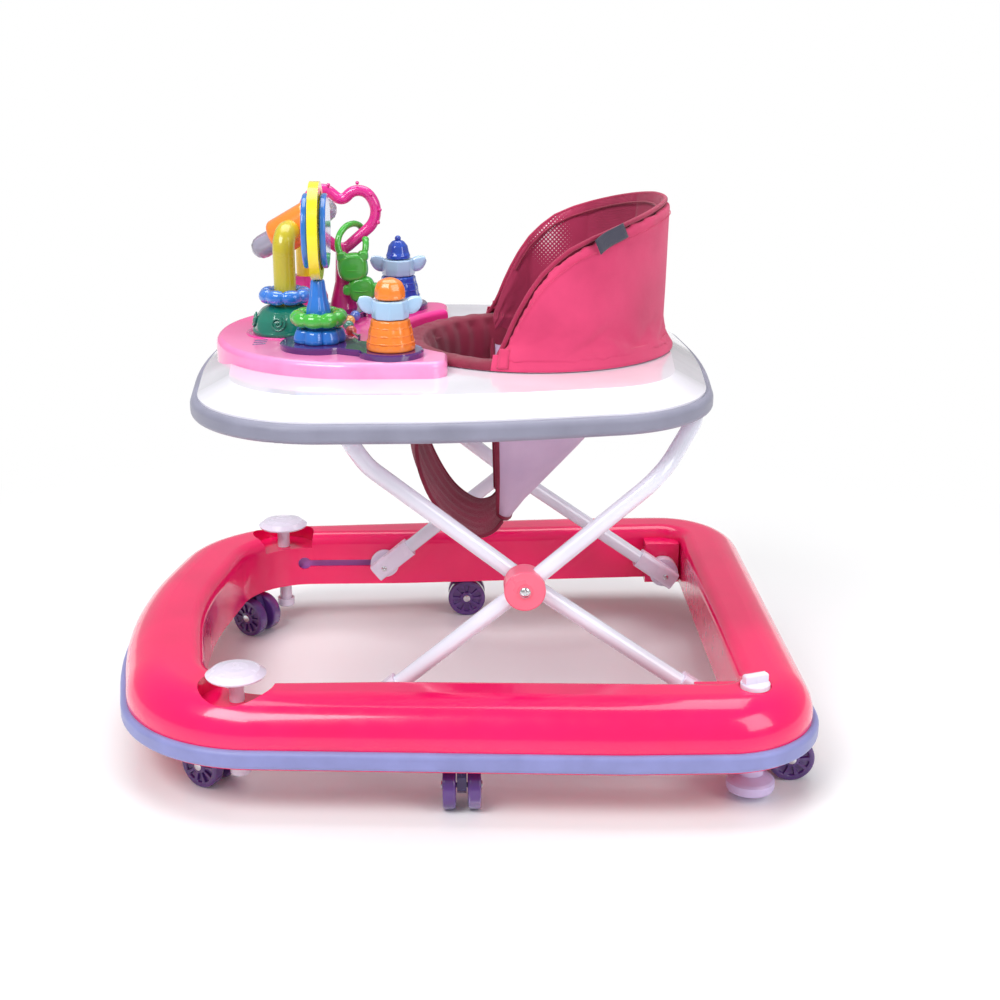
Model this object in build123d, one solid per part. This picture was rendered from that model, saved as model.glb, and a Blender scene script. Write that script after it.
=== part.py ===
from build123d import *
import os
from math import atan2, cos, degrees, hypot, radians, sin

# Baby walker. Millimetres, +Z up, floor at Z = 0, the child faces -X.
# The origin is on the floor under the middle of the base.

# ---- base ring ----
# Half outlines are (x, y, corner radius) from the front centre round to the rear edge, y >= 0.
BASE_OUTLINE = [(-361, 0, 599), (-308.6, 272.5, 150), (150, 300, 400), (346, 300, 100)]
OPENING_OUTLINE = [(-271, 0, 500), (-237, 210, 75), (-60, 210, 200), (268, 226, 25)]
BASE_BOTTOM = 50
BASE_TOP = 113
BASE_WALL = 3
OUTER_ROUND = 38
INNER_ROUND = 14
BUMPER_BOTTOM = 52
BUMPER_TOP = 70
BUMPER_DEPTH = 6

# ---- casters ----
WHEEL_R = 22.5
WHEEL_W = 12.5
WHEEL_GAP = 11
AXLE_R = 2.5
CASTER_TRAIL = 9
STEM_R = 5
STEM_TOP = 80
SOCKET_R = 12
RUNNING = 0.05
# name: (x, y, direction in which the wheels trail, in degrees)
CASTERS = {
    "front_left": (-246, -190, -35),
    "front_right": (-246, 190, -35),
    "mid_left": (3, -246, -90),
    "mid_right": (3, 246, 0),
    "rear_left": (313, -195, 0),
    "rear_right": (313, 195, 10),
}

# ---- stoppers and brake ----
STOPPER_X = -207
STOPPER_Y = 220
STOPPER_CAP_R = 28.5
STOPPER_STEM_R = 7.25
STOPPER_TOP = 130
DISH_FLOOR = 96
DISH_R = 36
BRAKE_X = 277
BRAKE_Y = -240
BRAKE_FOOT_R = 23
BRAKE_NECK_R = 12

# ---- scissor frame ----
TUBE_R = 8
TUBE_WALL = 1.2
INNER_Y = 179
OUTER_Y = 197
REAR_PIVOT = (247, 68.7)
HUB = (63.4, 197.6)
FRONT_PIVOT = (-86, 76.5)
INNER_KNEE = (-81.6, 311.3)
INNER_TOP = (-112, 355)
OUTER_KNEE = (189.8, 306.3)
OUTER_TOP = (228, 345)
INNER_BAR_Y = 179
OUTER_BAR_Y = 140
FOLD_DEG = 24
OUTER_RATIO = 1.186
SLIDE_PIN_R = 3
TRACK_Z = FRONT_PIVOT[1]
TRACK_FRONT = -182
TRACK_REAR = -80
HUB_COVER_R = 19.5

# ---- tray ----
TRAY_OUTLINE = [(-260, 0, 800), (-238, 255, 130), (20, 255, 800), (238, 216, 120), (256, 0, 900)]
TRAY_BOTTOM = 352
TRAY_EDGE = 372
TRAY_TOP = 388
TRAY_WALL = 2.5
TRAY_SLOPE = 62
TRAY_INSET = 7
SEAT_X = 83
OPENING_R = 123

# ---- seat ----
RING_R = 136
RING_BORE_R = 117.5
BACK_OUTER_R = 126
BACK_INNER_R = 112
SLING_WALL = 4

# ---- toys ----
CONSOLE_OUTLINE = [(-240, 0, 180), (-224, 155, 150), (-7, 155, 18), (-7, 0, 0)]
CONSOLE_TOP = 403
CONSOLE_WALL = 2.5
CONSOLE_CUT_R = 140
PLATE_TOP = 409
LOBE_A = (-130, 82, 38)
LOBE_B = (-60, 120, 31)
ARCH_X = -169
ARCH_Y = -8
ARCH_R = 11
ARCH_TOP = 501
ARCH_FAR = (-154, 74)
HOOP_Z = 513
HEART_Y = 93.5
HEART_TIP = (-118, 468)
HEART_SIDE = (-74, 506)
FROG_HOOK = (-98, 485.3)
BEAD_ARC_R = 169
BEAD_ARC_X = 62
BEAD_Z = 410


# ---- helpers ----
def closed_outline(half):
    """Face inside a half outline mirrored in the XZ plane."""
    mirror_part = [(x, -y, r) for x, y, r in reversed(half) if y > 0]
    points = half + mirror_part
    corners = [(x, y) for x, y, r in points if not (y == 0 and r == 0)]
    radii = [r for x, y, r in points if not (y == 0 and r == 0)]
    return make_face(FilletPolyline(*corners, radius=radii, close=True))


def grown(face, amount):
    """The same flat face with its edge moved outwards by amount."""
    return offset(face, amount=amount)


def slab(face, bottom, top, taper=0):
    """Flat face extruded from one height to another."""
    return extrude(Pos(0, 0, bottom) * face, amount=top - bottom, taper=taper)


def upright(radius, bottom, top, x=0, y=0):
    """Vertical cylinder between two heights."""
    return Pos(x, y, (bottom + top) / 2) * Cylinder(radius, top - bottom)


def across(radius, y0, y1, x, z):
    """Cylinder along Y between two values of y."""
    return Pos(x, (y0 + y1) / 2, z) * Rot(90, 0, 0) * Cylinder(radius, abs(y1 - y0))


def block(x0, x1, y0, y1, z0, z1):
    """Box between two corners."""
    return Pos((x0 + x1) / 2, (y0 + y1) / 2, (z0 + z1) / 2) * Box(x1 - x0, abs(y1 - y0), z1 - z0)


def turned(profile, x=0, y=0):
    """Solid of revolution about a vertical axis; profile is (radius, height) points."""
    face = Plane.XZ * make_face(Polyline(*profile, close=True))
    return Pos(x, y, 0) * revolve(face, Axis.Z)


def both_sides(solid):
    """The solid and its mirror image in the XZ plane, as separate solids."""
    return [solid, mirror(solid, Plane.XZ)]


def round_tube(points, radii, outer, inner=0):
    """Round tube or bar along straight runs joined by tangent arcs."""
    path = FilletPolyline(*points, radius=radii)
    section = Plane(origin=path @ 0, z_dir=path % 0) * Circle(outer)
    if inner:
        section -= Plane(origin=path @ 0, z_dir=path % 0) * Circle(inner)
    return sweep(section, path=path)


def save(node, shape):
    """Write one node; a list becomes a group of separate solids."""
    solids = shape if isinstance(shape, list) else [shape]
    pieces = [piece for item in solids for piece in item.solids()]
    export_step(Compound(children=pieces) if len(pieces) > 1 else pieces[0], f"parts/{node}.step")


# ---- base ----
def ring_block(outline, opening, bottom, top, outer_round, inner_round):
    """Ring between two outlines with both top edges rounded."""
    ring = slab(outline, bottom, top) - slab(opening, bottom - 1, top + 1)
    rim = ring.faces().sort_by(Axis.Z)[-1].outer_wire().edges()
    ring = fillet(rim, outer_round)
    rim = ring.faces().sort_by(Axis.Z)[-1].inner_wires()[0].edges()
    return fillet(rim, inner_round)


def dishes(radius, floor):
    """Round wells that the stopper caps sink into."""
    well = upright(radius, floor, BASE_TOP + 5, STOPPER_X, STOPPER_Y)
    return both_sides(well)


def base_cavity():
    """Hollow under the moulded ring."""
    outline = grown(closed_outline(BASE_OUTLINE), -BUMPER_DEPTH - BASE_WALL)
    opening = grown(closed_outline(OPENING_OUTLINE), BASE_WALL)
    cavity = ring_block(
        outline,
        opening,
        BASE_BOTTOM - 1,
        BASE_TOP - BASE_WALL,
        OUTER_ROUND - BASE_WALL,
        INNER_ROUND - BASE_WALL,
    )
    for well in dishes(DISH_R + BASE_WALL, DISH_FLOOR - BASE_WALL):
        cavity -= well
    return cavity


def slide_slots():
    """Keyholes and slots that the front sliders run in."""
    slots = []
    for side in (-1, 1):
        height = 2 * SLIDE_PIN_R + 2
        slot = block(TRACK_FRONT, TRACK_REAR, side * 204, side * 216, TRACK_Z - height / 2, TRACK_Z + height / 2)
        slots.append(slot + across(7.5, side * 204, side * 216, TRACK_FRONT, TRACK_Z))
    return slots


def base_shell(cavity):
    """Moulded ring, open below, with rear pivot blocks."""
    outline = grown(closed_outline(BASE_OUTLINE), -BUMPER_DEPTH)
    shell = ring_block(
        outline, closed_outline(OPENING_OUTLINE), BASE_BOTTOM, BASE_TOP, OUTER_ROUND, INNER_ROUND
    )
    for well in dishes(DISH_R, DISH_FLOOR):
        shell -= well
    shell -= cavity
    for side in (-1, 1):
        shell += block(226, 266, side * 200, side * 228, BASE_BOTTOM + 2, 100)
        shell -= across(4, side * 199, side * 218, *REAR_PIVOT)
        shell -= upright(STOPPER_STEM_R + RUNNING, 80, 100, STOPPER_X, side * STOPPER_Y)
    for slot in slide_slots():
        shell -= slot
    shell -= upright(15.5, BASE_TOP - 1.5, BASE_TOP + 1, BRAKE_X, BRAKE_Y)
    shell -= upright(4 + RUNNING, 100, 120, BRAKE_X, BRAKE_Y)
    return shell


def base_bumper():
    """Soft round band outside the foot of the ring."""
    outline = closed_outline(BASE_OUTLINE)
    band = slab(outline, BUMPER_BOTTOM, BUMPER_TOP)
    band -= slab(grown(outline, -BUMPER_DEPTH), BUMPER_BOTTOM - 1, BUMPER_TOP + 1)
    top_edges = band.faces().sort_by(Axis.Z)[-1].outer_wire().edges()
    low_edges = band.faces().sort_by(Axis.Z)[0].outer_wire().edges()
    return fillet(top_edges + low_edges, BUMPER_DEPTH - 1)


def caster_sockets(cavity):
    """Bosses under the ring that hold the caster stems."""
    bosses = []
    for x, y, _ in CASTERS.values():
        boss = upright(SOCKET_R, BASE_BOTTOM + 1, BASE_TOP, x, y) & cavity
        bosses.append(boss - upright(STEM_R + RUNNING, BASE_BOTTOM, STEM_TOP + 2, x, y))
    return bosses


def stopper_guides():
    """Sleeves that the stopper stems slide in."""
    sleeve = upright(11, 58, DISH_FLOOR - BASE_WALL, STOPPER_X, STOPPER_Y)
    sleeve -= upright(STOPPER_STEM_R + RUNNING, 50, 100, STOPPER_X, STOPPER_Y)
    return both_sides(sleeve)


def slide_tracks():
    """Channels behind the side walls that keep the slider heads in."""
    x0 = TRACK_FRONT - 10
    x1 = TRACK_REAR + 9
    channel = block(x0, x1, 213, 219, TRACK_Z - 12, TRACK_Z + 12)
    channel -= block(x0 + 2, x1 - 2, 212, 217, TRACK_Z - 9, TRACK_Z + 9)
    return both_sides(channel)


def rear_pivot_pins():
    """Fixed pins that the inner legs turn on."""
    return both_sides(across(4, 190, 218, *REAR_PIVOT))


def brake_guide():
    """Sleeve under the ring that the brake foot's neck slides in."""
    sleeve = upright(BRAKE_NECK_R + 3, 54, 84, BRAKE_X, BRAKE_Y)
    sleeve -= upright(BRAKE_NECK_R + RUNNING, 50, 90, BRAKE_X, BRAKE_Y)
    collar = upright(8, 84, BASE_TOP - BASE_WALL, BRAKE_X, BRAKE_Y)
    collar -= upright(4 + RUNNING, 80, 112, BRAKE_X, BRAKE_Y)
    cap = upright(BRAKE_NECK_R + 3, 84, 88, BRAKE_X, BRAKE_Y) - upright(4 + RUNNING, 80, 90, BRAKE_X, BRAKE_Y)
    return sleeve + collar + cap


# ---- casters ----
def caster_housing():
    """Swivel housing with its stem and axle; wheels trail along +X."""
    web = Plane.XZ * make_face(
        Polyline((-10, 46), (13, 46), (18, 34), (17, 20), (9, 14), (2, 19), (-8, 36), close=True)
    )
    housing = extrude(web, amount=4.5, both=True)
    housing += upright(11, 45.6, 49.5)
    housing += upright(STEM_R, 46, STEM_TOP)
    axle_half = WHEEL_GAP / 2 + WHEEL_W - 2
    return housing + across(AXLE_R, -axle_half, axle_half, CASTER_TRAIL, WHEEL_R)


def caster_wheels():
    """Pair of wheels on one axle."""
    inner_face = WHEEL_GAP / 2
    wheel = Pos(0, inner_face + WHEEL_W / 2, 0) * Rot(90, 0, 0) * Cylinder(WHEEL_R, WHEEL_W)
    wheel = fillet(wheel.edges().filter_by(GeomType.CIRCLE), 3)
    face_y = inner_face + WHEEL_W
    dish = across(15.5, face_y - 3, face_y + 1, 0, 0) - across(5, face_y - 3, face_y + 1, 0, 0)
    wheel -= dish
    wheel -= across(AXLE_R + RUNNING, 0, face_y - 1.5, 0, 0)
    return [Pos(CASTER_TRAIL, 0, WHEEL_R) * piece for piece in both_sides(wheel)]


# ---- stoppers and brake ----
def stopper():
    """Push-down stopper: mushroom cap, stem and tip."""
    cap_r = STOPPER_CAP_R
    top = STOPPER_TOP
    cap = turned([(0, top), (12, top - 0.6), (cap_r - 6, top - 2.5), (cap_r, top - 7), (cap_r - 1, top - 9),
                  (STOPPER_STEM_R + 3, top - 10), (STOPPER_STEM_R, top - 14), (STOPPER_STEM_R, 30), (10, 30),
                  (10, 22), (8.5, 20.5), (0, 20.5)])
    return Pos(STOPPER_X, STOPPER_Y, 0) * cap


def brake_knob():
    """Twist knob with a grip fin and a spindle."""
    disc = upright(14, 112, 117)
    disc = fillet(disc.edges().sort_by(Axis.Z)[-1], 1.5)
    fin = block(-12, 12, -3.5, 3.5, 116, 126)
    fin = fillet(fin.edges().group_by(Axis.Z)[-1], 3)
    return Pos(BRAKE_X, BRAKE_Y, 0) * Rot(0, 0, 20) * (disc + fin + upright(4, 60, 113))


def brake_foot():
    """Foot that the knob drives down to the floor."""
    foot = turned([(0, 8), (BRAKE_FOOT_R - 1, 8), (BRAKE_FOOT_R, 10), (BRAKE_FOOT_R, 17), (BRAKE_FOOT_R - 2, 19),
                   (BRAKE_NECK_R, 24), (BRAKE_NECK_R, 74), (0, 74)], BRAKE_X, BRAKE_Y)
    return foot - upright(5, 50, 75, BRAKE_X, BRAKE_Y)


# ---- scissor frame ----
def toward(start, end, distance):
    """Point at a distance from start on the line to end, in the XZ plane."""
    dx = end[0] - start[0]
    dz = end[1] - start[1]
    length = hypot(dx, dz)
    return (start[0] + dx * distance / length, start[1] + dz * distance / length)


def leg_frame(pivot, knee, top, plane_y, bar_y, bore=TUBE_R - TUBE_WALL):
    """U-shaped tube: two legs and the crossbar under the tray, whose corners are at bar_y."""
    low = toward(pivot, HUB, -8)
    half = [(*low, plane_y), (*HUB, plane_y), (*knee, plane_y), (*top, bar_y)]
    near = [(x, -y, z) for x, z, y in half]
    far = [(x, y, z) for x, z, y in reversed(half)]
    radii = [600, 60, 38, 38, 60, 600]
    return round_tube(near + far, radii, TUBE_R, bore)


def leg_sleeve(pivot, plane_y):
    """Moulded end piece round the lower end of one leg, on the +Y side."""
    angle = degrees(atan2(HUB[1] - pivot[1], HUB[0] - pivot[0]))
    body = Pos(13, 0, 0) * Box(52, 18, 21)
    body = fillet(body.edges().filter_by(Axis.X), 5)
    return Pos(pivot[0], plane_y, pivot[1]) * Rot(0, -angle, 0) * body


def inner_leg_tube():
    tube = leg_frame(REAR_PIVOT, INNER_KNEE, INNER_TOP, INNER_Y, INNER_BAR_Y)
    for side in (-1, 1):
        tube -= across(SLIDE_PIN_R, side * 165, side * 192, *HUB)
    return tube


def inner_leg_sleeves():
    """End pieces with a boss that turns on the rear pivot pin."""
    bar = leg_frame(REAR_PIVOT, INNER_KNEE, INNER_TOP, INNER_Y, INNER_BAR_Y, bore=0)
    sleeve = leg_sleeve(REAR_PIVOT, INNER_Y)
    sleeve += across(17, 186, 199.6, *REAR_PIVOT)
    sleeve -= across(4 + RUNNING, 190, 201, *REAR_PIVOT)
    return [piece - bar for piece in both_sides(sleeve)]


def outer_leg_tube():
    tube = leg_frame(FRONT_PIVOT, OUTER_KNEE, OUTER_TOP, OUTER_Y, OUTER_BAR_Y)
    for side in (-1, 1):
        tube -= across(SLIDE_PIN_R + RUNNING, side * 185, side * 207, *HUB)
        tube -= across(SLIDE_PIN_R + RUNNING, side * 185, side * 207, *FRONT_PIVOT)
    return tube


def outer_leg_sleeves(bar):
    sleeve = leg_sleeve(FRONT_PIVOT, OUTER_Y)
    sleeve -= across(SLIDE_PIN_R + RUNNING, 185, 207, *FRONT_PIVOT)
    return [piece - bar for piece in both_sides(sleeve)]


def hub_pins():
    """Screws that join the legs where they cross."""
    pin = across(SLIDE_PIN_R, 169, 211, *HUB)
    pin += across(5, 211.2, 213.6, *HUB) + across(SLIDE_PIN_R, 210, 212, *HUB)
    pin += across(6, 167, 170.8, *HUB)
    return both_sides(pin)


def hub_covers(bar):
    """Round caps over the outer leg at the crossing."""
    cover = across(HUB_COVER_R, 188, 211, *HUB)
    cover = fillet(cover.edges().filter_by(GeomType.CIRCLE).sort_by(Axis.Y)[-1], 2)
    cover -= across(SLIDE_PIN_R + RUNNING, 180, 215, *HUB)
    return [piece - bar for piece in both_sides(cover)]


def front_sliders():
    """Pins with a washer outside the slot and a head inside the channel."""
    slider = across(SLIDE_PIN_R, 191, 214, *FRONT_PIVOT)
    slider += across(17, 206.3, 209.2, *FRONT_PIVOT)
    slider += across(6.5, 213.4, 215.8, *FRONT_PIVOT)
    return both_sides(slider)


# ---- tray ----
def tray_block(inset, bottom, edge, top):
    """Tray body with sloping shoulders."""
    outline = grown(closed_outline(TRAY_OUTLINE), -inset)
    return slab(outline, bottom, edge) + slab(outline, edge, top, TRAY_SLOPE)


def tray_cavity(depth=1):
    """Hollow under the tray, reaching depth below its rim."""
    return tray_block(
        TRAY_INSET + TRAY_WALL, TRAY_BOTTOM - depth, TRAY_EDGE - TRAY_WALL / 2, TRAY_TOP - TRAY_WALL
    )


def tray_shell():
    """Moulded tray with the round seat opening."""
    shell = tray_block(TRAY_INSET, TRAY_BOTTOM, TRAY_EDGE, TRAY_TOP) - tray_cavity()
    return shell - upright(OPENING_R, 300, 420, SEAT_X)


def tray_bumper():
    outline = closed_outline(TRAY_OUTLINE)
    band = slab(outline, TRAY_BOTTOM, TRAY_EDGE - 2)
    band -= slab(grown(outline, -TRAY_INSET), TRAY_BOTTOM - 1, TRAY_EDGE)
    top_edges = band.faces().sort_by(Axis.Z)[-1].outer_wire().edges()
    low_edges = band.faces().sort_by(Axis.Z)[0].outer_wire().edges()
    return fillet(top_edges + low_edges, TRAY_INSET - 1)


def rear_clamps():
    """Bearing blocks that hold the outer crossbar under the tray."""
    x, z = OUTER_TOP
    clamp = block(x - 13, x + 13, 100, 122, z - 11, TRAY_TOP - TRAY_WALL)
    clamp -= across(TUBE_R + RUNNING, 95, 125, x, z)
    return both_sides(clamp & tray_cavity(40))


def folded(point_angle, point_radius):
    """Where a point of the inner frame, given from the rear pivot, ends when folded."""
    angle = radians(point_angle + FOLD_DEG)
    return (REAR_PIVOT[0] + point_radius * cos(angle), REAR_PIVOT[1] + point_radius * sin(angle))


def polar_from_rear(point):
    dx = point[0] - REAR_PIVOT[0]
    dz = point[1] - REAR_PIVOT[1]
    return degrees(atan2(dz, dx)), hypot(dx, dz)


def guide_travel():
    """Shift of the inner crossbar inside the tray over the whole fold."""
    hub = folded(*polar_from_rear(HUB))
    bar = folded(*polar_from_rear(INNER_TOP))
    reach = hypot(OUTER_TOP[0] - HUB[0], OUTER_TOP[1] - HUB[1])
    start = atan2(OUTER_TOP[1] - HUB[1], OUTER_TOP[0] - HUB[0])
    end = start - radians(FOLD_DEG * OUTER_RATIO)
    clamp = (hub[0] + reach * cos(end), hub[1] + reach * sin(end))
    dx = (bar[0] - clamp[0]) - (INNER_TOP[0] - OUTER_TOP[0])
    dz = (bar[1] - clamp[1]) - (INNER_TOP[1] - OUTER_TOP[1])
    return dx, dz


def guide_plates():
    """Slotted plates that carry the inner crossbar as the walker folds."""
    dx, dz = guide_travel()
    x, z = INNER_TOP
    gap = 1.2
    r = TUBE_R + gap
    outline = make_face(
        Polyline((x + 14, z - 13), (x + 14, TRAY_TOP - TRAY_WALL), (x + dx - 14, TRAY_TOP - TRAY_WALL),
                 (x + dx - 14, z - 13), close=True)
    )
    slot = make_face(
        Polyline((x, z - r), (x, z + r), (x + dx * 0.5, z + dz + r), (x + dx, z + dz + r), (x + dx, z - r),
                 close=True)
    )
    slot += Pos(x, z) * Circle(r)
    slot += Pos(x + dx, z + dz) * Circle(r)
    slot += Pos(x + dx, z) * Circle(r)
    plate = extrude(Plane.XZ.offset(-112) * (outline - slot), amount=6) & tray_cavity(40)
    return both_sides(plate)


# ---- seat ----
def seat_ring():
    """Ring that turns in the tray opening and carries the seat."""
    profile = [(RING_BORE_R, 372), (OPENING_R - 0.3, 372), (OPENING_R - 0.3, 380), (OPENING_R + 4, 382),
               (OPENING_R + 4, TRAY_TOP - TRAY_WALL - 0.3), (OPENING_R - 0.3, TRAY_TOP - TRAY_WALL - 0.3),
               (OPENING_R - 0.3, TRAY_TOP + 0.3), (RING_R, TRAY_TOP + 0.3), (RING_R, TRAY_TOP + 3),
               (RING_R - 3, TRAY_TOP + 6), (RING_BORE_R + 3, TRAY_TOP + 6), (RING_BORE_R, TRAY_TOP + 3)]
    return turned(profile, SEAT_X)


def tube_wall(outer, inner, bottom, top):
    return upright(outer, bottom, top, SEAT_X) - upright(inner, bottom - 1, top + 1, SEAT_X)


def seat_back():
    """Padded backrest: part of an upright tube with its top edge sweeping down to the front."""
    low = TRAY_TOP + 6.3
    corners = [(38, low), (50, 440), (95, 498), (192, 536), (212, 530), (212, low)]
    side_view = make_face(FilletPolyline(*corners, radius=[0, 60, 80, 20, 6, 0], close=True))
    slice_block = extrude(Plane.XZ * side_view, amount=140, both=True)
    return tube_wall(BACK_OUTER_R, BACK_INNER_R, low, 540) & slice_block


def seat_band():
    """Padded lining inside the ring, in front of the child."""
    band = tube_wall(RING_BORE_R - 0.4, 104, 342, TRAY_TOP + 4)
    return band - block(60, 230, -130, 130, 330, 420)


def sling_form(wall):
    """Funnel of the hanging seat; wall is how far the surface is moved inwards."""
    levels = [(384, SEAT_X, RING_BORE_R - 0.6, RING_BORE_R - 0.6), (300, 42, 86, 96), (228, 26, 46, 72),
              (200, 26, 27, 58)]
    funnel = None
    for low, high in zip(levels[1:], levels[:-1]):
        rings = [
            Pos(x, 0, z) * Ellipse(rx - wall, ry - wall)
            for z, x, rx, ry in (high, low)
        ]
        piece = loft(rings, ruled=True)
        funnel = piece if funnel is None else funnel + piece
    return funnel


def seat_sling():
    """Hanging seat with a leg hole on each side."""
    outer = sling_form(0)
    inner = sling_form(SLING_WALL)
    floor = 200 + SLING_WALL
    inner &= block(-200, 300, -200, 200, floor, 400)
    inner += Pos(SEAT_X, 0, 386) * Cylinder(RING_BORE_R - 0.6 - SLING_WALL, 6)
    sling = outer - inner
    hole = Plane.XZ * make_face(
        Polyline((-22, 345), (34, 345), (38, 300), (47, 232), (16, 222), (-8, 262), close=True)
    )
    sling -= extrude(hole, amount=150, both=True) - block(-200, 200, -30, 30, 150, 400)
    return sling - block(-60, 83, -130, 130, 341, 400)


def seat_tag():
    """Small plain sewn-in label."""
    tag = Rot(0, -26, 0) * Box(34, 1, 15)
    return Pos(SEAT_X, 0, 511) * Rot(0, 0, 29) * Pos(0, -BACK_OUTER_R - 2.2, 0) * tag


# ---- toys ----
def toy_console():
    """Moulded console that the toys stand on."""
    outline = closed_outline(CONSOLE_OUTLINE) - Pos(SEAT_X, 0) * Circle(CONSOLE_CUT_R)
    solid = slab(outline, TRAY_EDGE, CONSOLE_TOP)
    solid = fillet(solid.faces().sort_by(Axis.Z)[-1].outer_wire().edges(), 6)
    hollow = slab(grown(outline, -CONSOLE_WALL), TRAY_EDGE - 1, CONSOLE_TOP - CONSOLE_WALL)
    hollow = fillet(hollow.faces().sort_by(Axis.Z)[-1].outer_wire().edges(), 4)
    return solid - hollow - tray_block(TRAY_INSET, TRAY_BOTTOM, TRAY_EDGE, TRAY_TOP)


def toy_plates():
    """Figure-of-eight plates, one on each arm of the console."""
    ax, ay, ar = LOBE_A
    bx, by, br = LOBE_B
    angle = degrees(atan2(by - ay, bx - ax))
    waist = Pos((ax + bx) / 2, (ay + by) / 2) * Rot(0, 0, angle) * Rectangle(hypot(bx - ax, by - ay), 40)
    outline = Pos(ax, ay) * Circle(ar) + Pos(bx, by) * Circle(br) + waist
    plate = slab(outline, CONSOLE_TOP, PLATE_TOP)
    plate = chamfer(plate.faces().sort_by(Axis.Z)[-1].outer_wire().edges(), 1.5)
    return both_sides(plate)


def dome():
    base = turned([(0, CONSOLE_TOP), (34, CONSOLE_TOP), (34, 408), (31, 418), (25, 427), (16, 432), (0, 432)],
                  ARCH_X, ARCH_Y)
    return base - upright(ARCH_R, 420, 440, ARCH_X, ARCH_Y)


def arch_tube():
    fx, fy = ARCH_FAR
    points = [(ARCH_X, ARCH_Y, 420), (ARCH_X, ARCH_Y, ARCH_TOP), (fx, fy, ARCH_TOP), (fx, fy, 440)]
    return round_tube(points, [17, 17], ARCH_R)


def arch_base():
    x, y = ARCH_FAR
    foot = turned([(0, CONSOLE_TOP), (22, CONSOLE_TOP), (21, 425), (16, 440), (14, 447), (0, 447)], x, y)
    lobe_x, lobe_y, lobe_r = LOBE_A
    foot -= upright(ARCH_R, 440, 460, x, y)
    foot -= upright(lobe_r, CONSOLE_TOP - 1, PLATE_TOP, lobe_x, lobe_y)
    return foot


def ring_toy(x, y, z, ring_r, bar_r):
    return Pos(x, y, z) * Torus(ring_r, bar_r)


def rattle_frame():
    """Local frame of the rattle: X along its length, Y along the arch tube."""
    fx, fy = ARCH_FAR
    yaw = degrees(atan2(fy - ARCH_Y, fx - ARCH_X)) - 90
    t = 0.48
    centre = (ARCH_X + (fx - ARCH_X) * t, ARCH_Y + (fy - ARCH_Y) * t, ARCH_TOP)
    return Pos(*centre) * Rot(0, 0, yaw) * Rot(0, -30, 0)


def rattle_barrel():
    barrel = Rot(0, 90, 0) * Cylinder(19, 48)
    barrel = fillet(barrel.edges().filter_by(GeomType.CIRCLE), 6)
    barrel -= Rot(90, 0, 0) * Cylinder(ARCH_R + RUNNING, 60)
    return rattle_frame() * barrel


def rattle_capsule():
    """Clear rounded end caps of the rattle."""
    ends = []
    for side in (-1, 1):
        cap = turned([(0, 24.05), (12, 24.05), (12, 38), (11, 43), (8.4, 46.8), (4.6, 49.3), (0, 50)])
        ends.append(rattle_frame() * Rot(0, side * 90, 0) * cap)
    return ends


def flower_post():
    """Flower-shaped foot with the cone that holds the hoop."""
    x, y, _ = LOBE_A
    foot = upright(19, PLATE_TOP, 423)
    for turn in range(6):
        foot += Rot(0, 0, 60 * turn + 30) * Pos(17, 0, 416) * Cylinder(9, 14)
    cone = turned([(0, 420), (12, 420), (12, 440), (8.5, 452), (6.5, 469), (0, 469)])
    return Pos(x, -y, 0) * (foot + cone)


def hoop():
    """Flat wheel with three spokes and a bearing for the spinner."""
    x, y, _ = LOBE_A
    wheel = Circle(46) - Circle(37) + Circle(9)
    for turn in range(3):
        wheel += Rot(0, 0, 120 * turn + 90) * Pos(22, 0) * Rectangle(32, 8)
    wheel -= Circle(3.5 + RUNNING)
    disc = extrude(Plane.YZ * wheel, amount=4.75, both=True)
    return Pos(x, -y, HOOP_Z + 1.5) * disc - upright(6.7, 460, 469.02, x, -y)


def spinner():
    """Two discs on an axle, one each side of the hoop."""
    x, y, _ = LOBE_A
    disc = Pos(8.5, 0, 0) * Rot(0, 90, 0) * Cylinder(35, 6)
    disc = fillet(disc.edges().filter_by(GeomType.CIRCLE), 2)
    axle = Rot(0, 90, 0) * Cylinder(3.5, 14)
    return Pos(x, -y, HOOP_Z + 1.5) * (disc + mirror(disc, Plane.YZ) + axle)


def heart():
    """Heart-shaped handle on its stem."""
    corners = [(-117, 520), (-97, 540), HEART_SIDE, HEART_TIP, (-165, 506), (-140, 540)]
    radii = [8, 15, 24, 12, 22, 15]
    path = FilletPolyline(*[(x, HEART_Y, z) for x, z in corners], radius=radii, close=True)
    section = Plane(origin=path @ 0, z_dir=path % 0) * Circle(5.8)
    tube = sweep(section, path=path)
    stem = turned([(0, PLATE_TOP), (15, PLATE_TOP), (13, 418), (8.5, 436), (6.5, 474), (0, 474)], HEART_TIP[0], HEART_Y)
    return tube + stem


def frog():
    """Green hanging figure: two rounded pads, an arm and a loop round the heart."""
    slope = degrees(atan2(HEART_SIDE[1] - HEART_TIP[1], HEART_SIDE[0] - HEART_TIP[0]))
    x, z = FROG_HOOK
    along = Pos(x, HEART_Y, z) * Rot(0, 90 - slope, 0)
    figure = along * Torus(10.8, 3)
    figure += Plane(origin=(x - 3, 77.5, z - 10.3), z_dir=(8, 8.5, 26)) * Cylinder(4, 30)
    for pad_x, pad_z in ((-106, 455), (-97, 431)):
        pad = across(16.5, 63, 80, pad_x, pad_z)
        figure += fillet(pad.edges().filter_by(GeomType.CIRCLE), 7)
    return figure - along * Cylinder(6.6, 60)


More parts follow.
